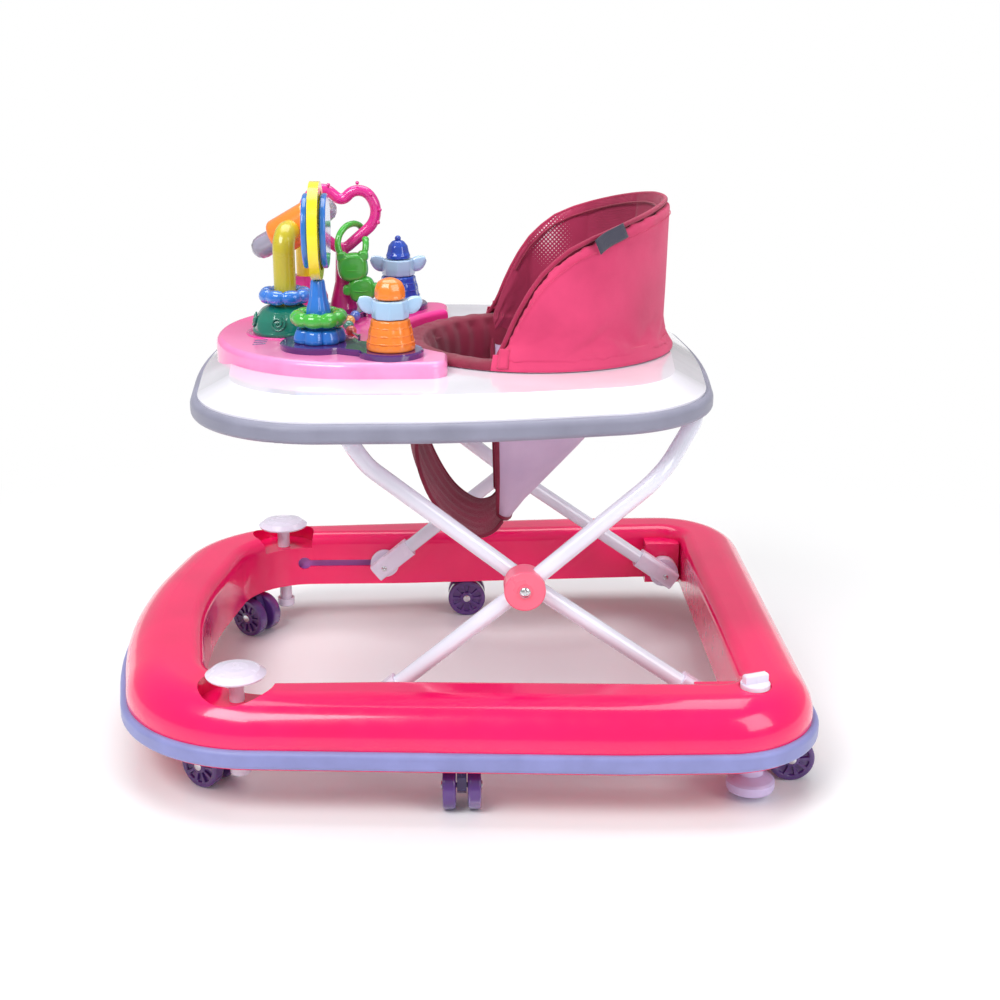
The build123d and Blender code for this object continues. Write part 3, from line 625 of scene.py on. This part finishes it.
def puff(obj, voxel, cap, pressure=4.0):
    """Swells a closed pad with a short cloth simulation, never further than cap."""
    remesh = obj.modifiers.new("remesh", "REMESH")
    remesh.mode = "VOXEL"
    remesh.voxel_size = voxel * MM
    applied(obj)
    rest = [v.co.copy() for v in obj.data.vertices]
    cloth = obj.modifiers.new("cloth", "CLOTH")
    cloth.settings.use_pressure = True
    cloth.settings.uniform_pressure_force = pressure
    cloth.settings.effector_weights.gravity = 0.0
    cloth.settings.quality = 4
    scene = bpy.context.scene
    for step in range(1, 21):
        scene.frame_set(step)
    applied(obj)
    scene.frame_set(1)
    for v, start in zip(obj.data.vertices, rest):
        shift = v.co - start
        if shift.length > cap * MM:
            v.co = start + shift.normalized() * cap * MM
    obj.data.shade_smooth()


def smooth_once(obj, levels=1):
    sub = obj.modifiers.new("smooth", "SUBSURF")
    sub.levels = levels
    sub.render_levels = levels
    applied(obj)
    obj.data.shade_smooth()


def keep_outside(obj, least, low):
    """Holds a swollen pad off the lining inside it and off the tray under it."""
    for v in obj.data.vertices:
        x, y, z = v.co.x / MM - SEAT_X, v.co.y / MM, v.co.z / MM
        r = (x * x + y * y) ** 0.5
        wanted = max(r, least + LEAN * max(0.0, x / r) * max(0.0, z - LEAN_START) / LEAN_HEIGHT)
        v.co = Vector((SEAT_X + x * wanted / r, y * wanted / r, max(z, low))) * MM


def make_backrest():
    cover = add_piece("backrest_cover", back_solid(COVER_LOW, 2.5), "seat", OUTER_CLOTH,
                      ("seat_back",))
    puff(cover, COVER_VOXEL, COVER_SWELL)
    smooth_once(cover)
    keep_outside(cover, COVER_CLEAR_R, TRAY_CLEAR_Z)
    # quilted lining with shallow vertical channels
    rings = []
    for i in range(217):
        angle = -BACK_SPAN + 2 * BACK_SPAN * i / 216
        top = edge_height(angle) - 1
        channel = abs(sin(radians(angle) * 6.0)) ** 0.3
        ring = []
        for k in range(29):
            t = k / 28
            z = LINING_LOW + max(top - LINING_LOW, 5) * t
            bulge = 5.5 * sin(pi * min(1, t * 1.01)) ** 0.35
            crease = 1.6 * noise.noise(Vector((angle * 0.07, t * 6, 3)))
            inset = 3.5 if z < 396 else 0
            ring.append(around(angle, 118.4 - inset - channel * bulge - crease, z))
        for k in range(28, -1, -14):
            z = LINING_LOW + max(top - LINING_LOW, 5) * k / 28
            ring.append(around(angle, 119 if z > 396 else 115.8, z))
        rings.append(ring)
    lining = add_piece("backrest_lining", skin(rings), "seat", LINING, sharp=60)
    # flat hem along the edge, with piping and stitches
    angles = [-BACK_SPAN + BACK_SPAN * k / 70 for k in range(141)]
    path = [around(a, 121.5 + flare(edge_height(a)), edge_height(a) - 0.8) for a in angles]
    hem = add_piece("backrest_hem", swept(path, 2.3, 16), "seat", PIPING_CLOTH, sharp=70)
    skirt = []
    for a in angles:
        outside = [(125.6 + flare(z), z) for z in SKIRT_HEIGHTS]
        inside = [(r - 1.7, z) for r, z in reversed(outside)]
        skirt.append([around(a, r, z) for r, z in outside + inside])
    add_piece("backrest_skirt", skin(skirt), "seat", OUTER_CLOTH, sharp=60)
    path = [around(a, 113.6, edge_height(a) - 9) for a in angles[8:-8]]
    add_piece("backrest_piping_inner", swept(path, 1.1, 10), "seat", GATHER)
    for side, name in ((-1, "left"), (1, "right")):
        tab = []
        for k in range(9):
            z = 391.5 + 2.2 * k
            r = 126.3 + flare(z) + 0.3 * sin(k)
            tab.append([around(side * a, r, z) for a in (104, 105.5, 107, 108.5)])
        piece = add_piece(f"backrest_tab_{name}", skin(tab, closed=False, cap=False), "seat",
                          HEM_CLOTH)
        thicken(piece, 1.2)
    stitches = []
    for k in range(170):
        a = -101 + 202 * k / 170
        path = [around(a + d, 127.2 + flare(edge_height(a + d) - 13.5), edge_height(a + d) - 13.5)
                for d in (0, 0.4, 0.8)]
        stitches.append(swept(path, 0.45, 6))
    add_piece("backrest_stitches", merged(*stitches), "seat", HEM_CLOTH)
    tag = []
    for i in range(9):
        t = i / 8
        row = []
        for k in range(5):
            u = k / 4
            height = (u - 0.5) * TAG_SIZE[1] + 0.8 * sin(t * 5)
            row.append(((t - 0.5) * TAG_SIZE[0], -0.6 + 1.2 * sin(t * pi), height))
        tag.append(row)
    front = skin(tag, closed=False, cap=False)
    place = at(SEAT_X, 0, TAG_PLACE[2]) @ turn(TAG_PLACE[0], "Z") @ at(0, TAG_PLACE[1], 0) @ turn(-26, "Y")
    label = add_piece("sewn_tag", front, "seat", TAG, ("seat_tag",), matrix=place)
    thick = label.modifiers.new("thick", "SOLIDIFY")
    thick.thickness = 0.8 * MM
    applied(label)


# the band's way over the ring and back down behind itself: (radius, height)
BAND_FOLD = [(114.4, 393), (117, 395.6), (121, 396.4), (126, 396.5), (131, 396), (135, 394.4), (137.4, 391.6),
             (137.8, 389), (136.8, 388.8), (136.3, 391), (134, 393.2), (130, 394.8), (120, 394.9),
             (116.6, 393), (116, 388), (116, 346)]


def make_band():
    """Gathered lining inside the front of the ring, folded over the ring's top."""
    rings = []
    for i in range(301):
        angle = 96 + 168 * i / 300
        gather = noise.noise(Vector((angle * 0.16, 0, 1.7))) * 2.0 + 1.3 * sin(radians(angle) * 34)
        ring = []
        for k in range(13):
            t = k / 12
            bulge = 6.0 * sin(pi * t) ** 0.6
            ring.append(around(angle, 113.6 - bulge - gather * (0.35 + 0.65 * t) * 0.8, 345 + 44 * t))
        for r, z in BAND_FOLD:
            ring.append(around(angle, r + 0.25 * gather * (z > 394.9), z + 0.22 * gather * (z > 395)))
        rings.append(ring)
    band = add_piece("front_lining", skin(rings), "seat", GATHER, ("seat_band",), sharp=70)


def strap_rows():
    """Rows of the front strap: (centre x, z, half width, how far the edges lie back)."""
    return [(-31, 384, 100, 55), (-38, 350, 98, 34), (-45, 318, 95, 10), (-44, 290, 91, 7), (-35, 262, 86, 6),
            (-23, 238, 77, 6), (-8, 219, 69, 5), (8, 207, 64, 4), (24, 202, 60, 2), (38, 206, 56, 1),
            (47, 215, 53, 0)]


def smooth_rows(rows, per):
    out = []
    for i in range(len(rows) - 1):
        r0 = rows[max(i - 1, 0)]
        r1 = rows[i]
        r2 = rows[i + 1]
        r3 = rows[min(i + 2, len(rows) - 1)]
        for k in range(per):
            t = k / per
            out.append(tuple(
                0.5 * (2 * b + (c - a) * t + (2 * a - 5 * b + 4 * c - d) * t * t
                       + (3 * b - a - 3 * c + d) * t ** 3)
                for a, b, c, d in zip(r0, r1, r2, r3)
            ))
    out.append(rows[-1])
    return out


def make_sling():
    rows = smooth_rows(strap_rows(), 5)
    grid = []
    for i, (x, z, half, back) in enumerate(rows):
        row = []
        for k in range(41):
            u = k / 20 - 1
            fold = 2.6 * noise.noise(Vector((u * 3.4, i * 0.045, 5))) + 1.2 * sin(u * 17 + i * 0.1)
            row.append((x + back * u * u + fold * 0.7, half * u, z + fold * 0.3))
        grid.append(row)
    strap = add_piece("sling_front", skin(grid, closed=False, cap=False), "seat", GATHER,
                      ("seat_sling",), sharp=70)
    thicken(strap, 2.6)
    edges = []
    for side in (0, -1):
        edges.append(swept([row[side] for row in grid], 2.2, 10))
    add_piece("sling_front_binding", merged(*edges), "seat", GATHER)
    grid = []
    for i in range(25):
        t = i / 24
        row = []
        for k in range(61):
            u = k / 30 - 1
            a = radians(u * PANEL_SPAN)
            top = Vector((SEAT_X + 114.5 * cos(a), 114.5 * sin(a), 380))
            low = Vector((47 + 10 * cos(a), 50 * sin(a), 218 - 6 * cos(a)))
            p = top.lerp(low, t)
            sag = -7.0 * sin(pi * t) * max(0.0, cos(a))
            fold = 2.4 * noise.noise(Vector((u * 4.5, t * 2.5, 9)))
            out = Vector((cos(a), sin(a), 0))
            p += out * (fold - sag) * sin(pi * min(1, t * 1.15)) ** 0.5
            row.append(tuple(p))
        grid.append(row)
    panel = add_piece("sling_rear", skin(grid, closed=False, cap=False), "seat", LILAC_CLOTH,
                      sharp=70)
    thicken(panel, 2.2)
    edges = [swept([row[0] for row in grid], 3.0, 10), swept([row[-1] for row in grid], 3.0, 10),
             swept([Vector(p) for p in grid[-1]], 2.6, 10)]
    add_piece("sling_rear_binding", merged(*edges), "seat", GATHER)


def thicken(obj, amount):
    thick = obj.modifiers.new("thick", "SOLIDIFY")
    thick.thickness = amount * MM
    thick.offset = 0.0
    applied(obj)
    obj.data.shade_smooth()


# ---- toys ----
def petals(count, depth):
    return lambda a, z: 1 - depth + depth * abs(cos(a * count / 2)) ** 0.5


def make_dome():
    """Teal dome with swirling flutes and curled reliefs."""
    profile = rounded([(0.01, CONSOLE_TOP), (34, CONSOLE_TOP), (34, 408), (31.5, 418), (25, 427), (16, 431.6),
                       (12, 432)], 3, 5)
    wave = lambda a, z: 1 - 0.035 * (0.5 + 0.5 * sin(9 * a + (z - 403) * 0.16)) * (1 if z > 407 else 0)
    curls = []
    for facing in (-170, -100, -30, 40, 110):
        path = []
        for k in range(44):
            t = 0.32 * k
            height = 417 + 0.19 * k * sin(t)
            r = 33.6 - 0.17 * (height - 408) - 0.03 * max(0.0, height - 416) ** 1.6
            a = radians(facing) + 0.19 * k * cos(t) / r
            path.append((r * cos(a), r * sin(a), height))
        curls.append(swept(path, 1.0, 8))
    add_piece("dome_curls", merged(*curls), "tray", TEAL, matrix=at(*ARCH), sharp=60)
    add_piece("dome_swirl", lathe(profile, 144, wave), "tray", TEAL, ("dome",), matrix=at(*ARCH),
              sharp=60)


def make_rings():
    add_piece("blue_ring", ring_toy(19.5, 7.5, 8, 0.3), "arch_ring", BLUE, ("arch_ring",),
              matrix=at(*ARCH, 440.5), sharp=75)
    add_piece("green_ring_toy", ring_toy(20.5, 7.5, 9, 0.3), "green_ring", GREEN,
              ("green_ring",), matrix=at(LOBE_A[0], -LOBE_A[1], 432), sharp=75)


def make_flower():
    """Scalloped foot and fluted cone under the hoop."""
    place = at(LOBE_A[0], -LOBE_A[1])
    foot = lathe(rounded([(0.01, PLATE_TOP), (25, PLATE_TOP), (26, 413), (23, 422), (8, 423)], 3, 5), 144,
                 petals(7, 0.2))
    cone_side = rounded([(0.01, 422), (12, 422), (12, 440), (8.6, 452), (6.6, 468.4), (0.01, 468.4)], 2, 4)
    cone = lathe(cone_side, 120, lambda a, z: 1 - 0.08 * (0.5 + 0.5 * cos(10 * a)))
    add_piece("flower_foot", foot, "tray", BLUE, ("flower_post",), matrix=place, sharp=60)
    add_piece("flower_cone", cone, "tray", BLUE, matrix=place, sharp=60)
    rivets = []
    for z in (538, 491):
        for side in (-1, 1):
            pin = lathe(rounded([(0.01, 4.2), (4.4, 4.2), (4.4, 6.0), (0.01, 6.6)], 0.8), 32)
            rivets.append(moved(pin, place @ at(0, 0, z) @ turn(90 * side, "Y")))
    add_piece("hoop_rivets", merged(*rivets), "tray", GREEN)


def make_figure(name, y, colours, body):
    """Stacked figure: ribbed bell, turning collar with wings, and a hat with a knob on the far one."""
    bell_colour, collar_colour, hat_colour = colours
    place = at(LOBE_B[0], y)
    ribs = lambda a, z: 1 + (0.018 * cos(12 * a) if z > 413 else 0)
    bell = lathe(rounded([(0.01, PLATE_TOP), (23, PLATE_TOP), (23, 413), (21, 421), (20.5, 427), (18.6, 432),
                          (18, 438), (0.01, 438)], 2.2, 4), 120, ribs)
    grooves = []
    for z in (417, 424, 431):
        r = 22.2 - (z - 417) * 0.25
        circle = [(r * cos(2 * pi * k / 60), r * sin(2 * pi * k / 60), z) for k in range(60)]
        grooves.append(swept(circle, 0.8, 8,
                             closed=True))
    add_piece(f"{name}_bell", merged(bell, *grooves), "tray", bell_colour[0],
              (f"{name}_figure_body",), matrix=place, sharp=50)
    if name == "near":
        side_view = [(5.9, 437), (5.9, 456.6), (14, 456.6), (14.4, 461), (13.8, 467), (11, 473), (5, 476),
                     (0.01, 476.6)]
        hat = lathe(rounded(side_view, 2.2, 4), 96,
                    lambda a, z: 1 - (0.05 * abs(sin(4 * a)) if z > 460 else 0))
    else:
        side_view = [(5.9, 437), (5.9, 456.6), (13, 456.6), (13.2, 460), (11.4, 463), (10, 470), (6, 475),
                     (0.01, 477)]
        hat = lathe(rounded(side_view, 1.4, 4), 64, lambda a, z: 1 + (0.03 * cos(6 * a) if z > 462 else 0))
        hat = merged(hat, ball((0, 0, 477.5), 3.4))
    add_piece(f"{name}_hat", hat, "tray", hat_colour[0], matrix=place, sharp=55)
    facet_side = rounded([(6.2, 438.6), (17.6, 438.6), (18.2, 446), (17.2, 455.8), (6.2, 455.8)], 1.6, 4)
    facets = lathe(facet_side, 96, lambda a, z: 1 - 0.06 * abs(sin(4 * a)))
    parts = [facets]
    for side in (-1, 1):
        wing = []
        for i in range(13):
            t = i / 12
            size = 7.2 * sin(pi * (0.15 + 0.8 * t)) ** 0.6
            c = Vector((side * (13 + 16.5 * t), 0, 447 + 7.0 * t + 2.2 * t * t))
            wing.append([tuple(c + Vector((side * -0.45 * size * sin(b), 3.1 * cos(b), size * sin(b))))
                         for b in [2 * pi * k / 20 for k in range(20)]])
        parts.append(skin(wing))
    add_piece(f"{name}_collar_wings", merged(*parts), body, collar_colour,
              (f"{name}_figure_collar",), matrix=place, sharp=50)


def pad_shape(x, y, z, r, thick, lean=0.0, squash=0.94):
    """Plump rounded-square pad lying in the XZ plane."""
    profile = rounded([(0.01, thick), (r * 0.84, thick), (r, thick * 0.3), (r, -thick * 0.3),
                       (r * 0.84, -thick), (0.01, -thick)], r * 0.4, 6)
    square = lambda a, h: 0.94 * (abs(cos(a)) ** 2.8 + abs(sin(a)) ** 2.8) ** -0.357
    matrix = at(x, y, z) @ turn(lean, "Y") @ Matrix.Diagonal((1, 1, squash, 1)) @ turn(90, "X")
    return moved(lathe(profile, 96, square), matrix)


def make_frog():
    """Green hanging figure: two plump pads and two arms hooked over the heart."""
    parts = [pad_shape(-106, 72, 455, 17.0, 8.6, -6), pad_shape(-97, 72, 431.5, 15.2, 8.2, -10)]
    parts += [pad_shape(-111, 71.5, 431, 6.5, 6.5), pad_shape(-83, 72.5, 433, 6.0, 6.5)]
    parts += [pad_shape(-117, 71, 466, 6.2, 6.4), pad_shape(-95, 71, 467, 6.2, 6.4)]
    for x, z, half in ((-106, 452, 11), (-98, 430, 9)):
        crease = [(x + half * t, 64.0 + 0.8 * t * t, z + 1.4 * t * t) for t in (-1, -0.5, 0, 0.5, 1)]
        parts.append(swept(crease, 1.0, 8))
    hook = [(-117, 72, 466), (-121, 74, 476), (-119.5, 79, 487), (-113, 86, 495), (-105.5, 94, 497),
            (-99.5, 101, 494), (-95, 104, 487)]
    parts.append(swept(spline(hook, 6), 3.4, 14))
    parts.append(ball(hook[-1], 3.4, seg=16))
    arm = [(-95, 72, 466), (-92.5, 73.5, 473), (-92, 77, 479), (-92.5, 81, 482)]
    parts.append(swept(spline(arm, 6), 3.4, 14))
    parts.append(ball(arm[-1], 3.9, seg=16))
    add_piece("hanging_frog", merged(*parts), "frog", GREEN, ("frog",), sharp=60)


def make_heart_trim():
    """Small nubs on the outside of the heart."""
    nubs = []
    for x, z in ((-161, 500), (-160, 516), (-150, 533), (-130, 538), (-100, 540), (-86, 528), (-77, 512),
                 (-79, 499)):
        nubs.append(ball((x, HEART_Y - 5.0, z), 2.0, 2.2, 2.0, 12))
    add_piece("heart_nubs", merged(*nubs), "tray", MAGENTA)


def make_console_trim():
    """Vent slits and a raised line on the console."""
    slots = []
    for k in range(3):
        y = -52 - 9 * k
        path = [(-196 + 6 * t, y + 2 * t, CONSOLE_TOP + 0.25) for t in (0, 0.5, 1, 1.5, 2)]
        slots.append(swept(path, 1.4, 8, flat=0.4))
    add_piece("console_slits", merged(*slots), "tray", PLATE)
    turns = [2 * pi * k / 90 for k in range(90)]
    ring = [(ARCH[0] + 38 * cos(a), ARCH[1] + 38 * sin(a), CONSOLE_TOP) for a in turns]
    add_piece("dome_moat", swept(ring, 2.6, 10, closed=True, flat=0.5), "tray", MAGENTA)


def make_toys():
    make_dome()
    make_rings()
    make_flower()
    orange = (ORANGE, "toy_orange")
    navy = (NAVY, "toy_navy")
    make_figure("near", -LOBE_B[1], (orange, PALE_BLUE, orange), "near_collar")
    make_figure("far", LOBE_B[1], (navy, PALE_BLUE, navy), "far_collar")
    make_frog()
    make_heart_trim()
    make_console_trim()


# ---- stage, lights and camera ----
def make_stage():
    floor = bpy.data.objects.new("floor", bpy.data.meshes.new("floor"))
    size = 6.0
    corners = [(-size, -size, 0), (size, -size, 0), (size, size * 2, 0), (-size, size * 2, 0)]
    floor.data.from_pydata(corners, [], [(0, 1, 2, 3)])
    m = Nodes("white_floor")
    grain = m.noise(3.0, 2.0)
    m.set(Base_Color=m.mix(grain.outputs[0], (0.95, 0.95, 0.96, 1), (0.98, 0.98, 0.99, 1)), Roughness=0.3)
    split = m.add("ShaderNodeSeparateXYZ", Vector=m.where)
    square = m.math("ADD", m.math("MULTIPLY", split.outputs[0], split.outputs[0]),
                    m.math("MULTIPLY", split.outputs[1], split.outputs[1]))
    far = m.spread(m.math("SQRT", square), 0.0, 1.0, *FLOOR_FADE)
    glow = m.add("ShaderNodeEmission", Color=(1, 1, 1, 1), Strength=1.0)
    blend = m.add("ShaderNodeMixShader")
    m.link(far, blend.inputs[0])
    m.link(m.shader.outputs[0], blend.inputs[1])
    m.link(glow.outputs[0], blend.inputs[2])
    m.link(blend.outputs[0], m.tree.nodes["Material Output"].inputs["Surface"])
    floor.data.materials.append(m.material)
    bpy.context.scene.collection.objects.link(floor)


def area_light(name, place, target, size, power, colour=(1, 1, 1)):
    data = bpy.data.lights.new(name, "AREA")
    data.shape = "RECTANGLE"
    data.size, data.size_y = size
    data.energy = power
    data.color = colour
    lamp = bpy.data.objects.new(name, data)
    lamp.location = place
    lamp.rotation_euler = (Vector(target) - Vector(place)).to_track_quat("-Z", "Y").to_euler()
    bpy.context.scene.collection.objects.link(lamp)


def make_lights():
    area_light("key", (-1.3, -1.6, 2.3), (0, 0, 0.2), (1.6, 1.2), 52)
    area_light("fill", (1.7, -1.5, 1.5), (0, 0, 0.25), (1.2, 1.6), 22)
    area_light("top", (0, 0.5, 2.6), (0, 0, 0.2), (2.4, 1.6), 40)
    world = bpy.data.worlds.new("studio")
    world.use_nodes = True
    tree = world.node_tree
    back = tree.nodes["Background"]
    back.inputs["Color"].default_value = (1, 1, 1, 1)
    back.inputs["Strength"].default_value = 0.42
    seen = tree.nodes.new("ShaderNodeBackground")
    seen.inputs["Color"].default_value = (1, 1, 1, 1)
    seen.inputs["Strength"].default_value = 1.0
    path = tree.nodes.new("ShaderNodeLightPath")
    blend = tree.nodes.new("ShaderNodeMixShader")
    tree.links.new(path.outputs["Is Camera Ray"], blend.inputs[0])
    tree.links.new(back.outputs[0], blend.inputs[1])
    tree.links.new(seen.outputs[0], blend.inputs[2])
    tree.links.new(blend.outputs[0], tree.nodes["World Output"].inputs["Surface"])
    bpy.context.scene.world = world
    bpy.context.scene.view_settings.view_transform = "Standard"


def make_camera():
    data = bpy.data.cameras.new("camera")
    data.lens = 57.51
    data.sensor_width = 36.0
    data.clip_end = 30.0
    camera = bpy.data.objects.new("camera", data)
    camera.location = (0, -1.5989, 0.7279)
    camera.rotation_euler = (radians(90 - 17.595), 0, radians(-1.651))
    bpy.context.scene.collection.objects.link(camera)
    bpy.context.scene.camera = camera


make_camera()
make_casters()
make_screws()
make_backrest()
make_band()
make_sling()
make_toys()
make_stage()
make_lights()

bpy.context.view_layer.update()
